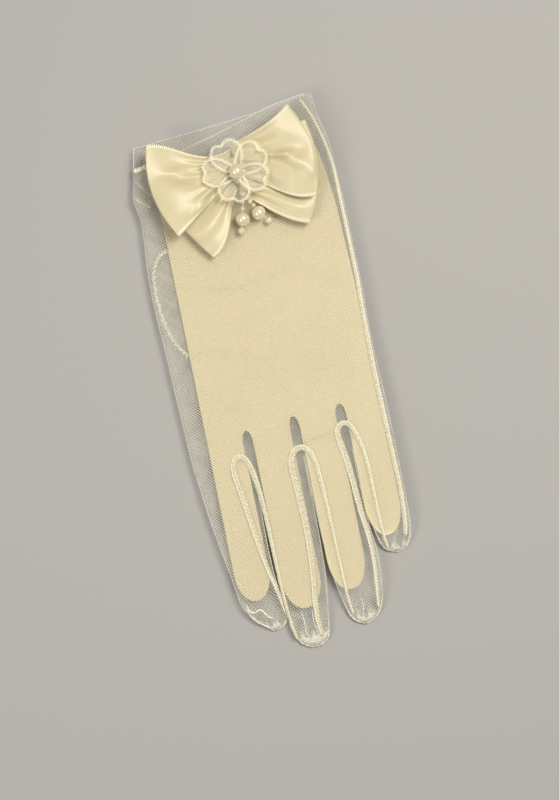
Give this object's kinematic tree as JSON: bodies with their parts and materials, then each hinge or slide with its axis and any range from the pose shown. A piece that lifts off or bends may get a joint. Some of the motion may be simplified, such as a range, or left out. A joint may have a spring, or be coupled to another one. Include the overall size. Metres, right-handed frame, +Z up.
{
  "type": "communion glove on a hand-shaped card",
  "caption": "Child's sheer net glove laid flat round a hand-shaped card, with corded finger seams, a satin bow, a lace flower and pearl drops on the cuff.",
  "frame": {"origin": "centre of the bounding box's underside, where the glove lies on a table", "axes": "+X from the index finger to the little finger, +Y from the fingertips to the cuff, +Z up off the table through the back of the glove"},
  "size_m": [0.0856, 0.2219, 0.0217],
  "materials": {
    "net": "sheer fine net, matt",
    "seam_cord": "dense stitched seam, matt",
    "card": "smooth card, matt",
    "satin": "satin ribbon, soft sheen",
    "lace": "sheer lace with corded edges",
    "pearl": "pearly gloss"
  },
  "bodies": {
    "root": {"glove_net": "net", "thumb_net": "net", "index_middle_seam": "seam_cord", "middle_ring_seam": "seam_cord", "ring_little_seam": "seam_cord", "side_seam": "seam_cord", "hem_seam": "seam_cord", "thumb_seam": "seam_cord", "hand_card": "card", "left_upper_bow_loop": "satin", "left_lower_bow_loop": "satin", "right_upper_bow_loop": "satin", "right_lower_bow_loop": "satin", "bow_knot": "satin", "lace_flower": "lace", "centre_pearl": "pearl", "left_drop_pearl": "pearl", "left_drop_bead": "pearl", "right_drop_pearl": "pearl", "right_drop_bead": "pearl"}
  },
  "joints": []
}
